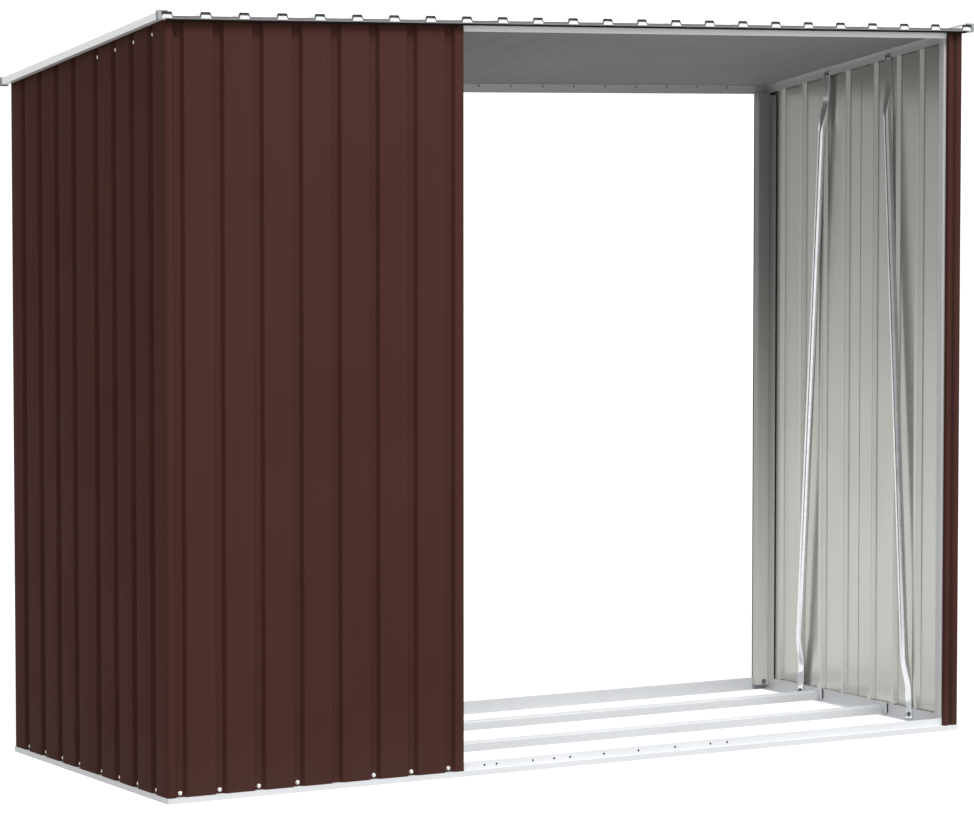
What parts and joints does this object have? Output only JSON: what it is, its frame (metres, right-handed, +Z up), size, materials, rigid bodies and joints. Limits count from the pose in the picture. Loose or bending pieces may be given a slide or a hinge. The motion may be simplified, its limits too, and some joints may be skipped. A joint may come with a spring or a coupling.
{
  "type": "log store",
  "caption": "Open-fronted steel log store: corrugated wall sheets on a folded frame, a closed bay beside an open bay, tube braces and a ribbed lean-to roof.",
  "frame": {"origin": "on the ground, at the middle of the part's box in plan", "axes": "+X along the front from the closed bay to the open bay, -Y out of the front, +Z up"},
  "size_m": [2.45, 0.9832, 1.9393],
  "materials": {
    "brown_sheet": "satin brown outside, pale grey inside",
    "pale_rail": "pale satin coating",
    "pale_sheet": "pale satin coating on both sides",
    "grey_frame": "pale grey satin coating",
    "galvanised_tube": "bright galvanised",
    "corner_cap_plastic": "matt grey"
  },
  "bodies": {
    "root": {"front_base_rail": "pale_rail", "front_floor_beam": "pale_rail", "front_right_jamb": "brown_sheet", "front_right_post": "grey_frame", "front_top_rail": "grey_frame", "front_wall_bay_sheet": "brown_sheet", "front_wall_corner_sheet": "brown_sheet", "front_wall_post": "grey_frame", "left_base_rail": "pale_rail", "left_front_corner_cap": "corner_cap_plastic", "left_rear_corner_cap": "corner_cap_plastic", "left_top_rail": "grey_frame", "left_verge_trim": "pale_rail", "left_wall_front_brace": "galvanised_tube", "left_wall_front_sheet": "brown_sheet", "left_wall_rear_brace": "galvanised_tube", "left_wall_rear_sheet": "brown_sheet", "rear_base_rail": "pale_rail", "rear_floor_beam": "pale_rail", "rear_right_jamb": "brown_sheet", "rear_right_post": "grey_frame", "rear_top_rail": "grey_frame", "rear_wall_bay_sheet": "brown_sheet", "rear_wall_corner_sheet": "brown_sheet", "rear_wall_post": "grey_frame", "right_base_rail": "pale_rail", "right_front_corner_cap": "corner_cap_plastic", "right_rear_corner_cap": "corner_cap_plastic", "right_top_rail": "grey_frame", "right_verge_trim": "pale_rail", "right_wall_front_brace": "galvanised_tube", "right_wall_front_sheet": "brown_sheet", "right_wall_rear_brace": "galvanised_tube", "right_wall_rear_sheet": "brown_sheet", "roof_sheet_1": "pale_sheet", "roof_sheet_2": "pale_sheet", "roof_sheet_3": "pale_sheet", "roof_sheet_4": "pale_sheet", "roof_sheet_5": "pale_sheet", "roof_sheet_6": "pale_sheet"}
  },
  "joints": []
}
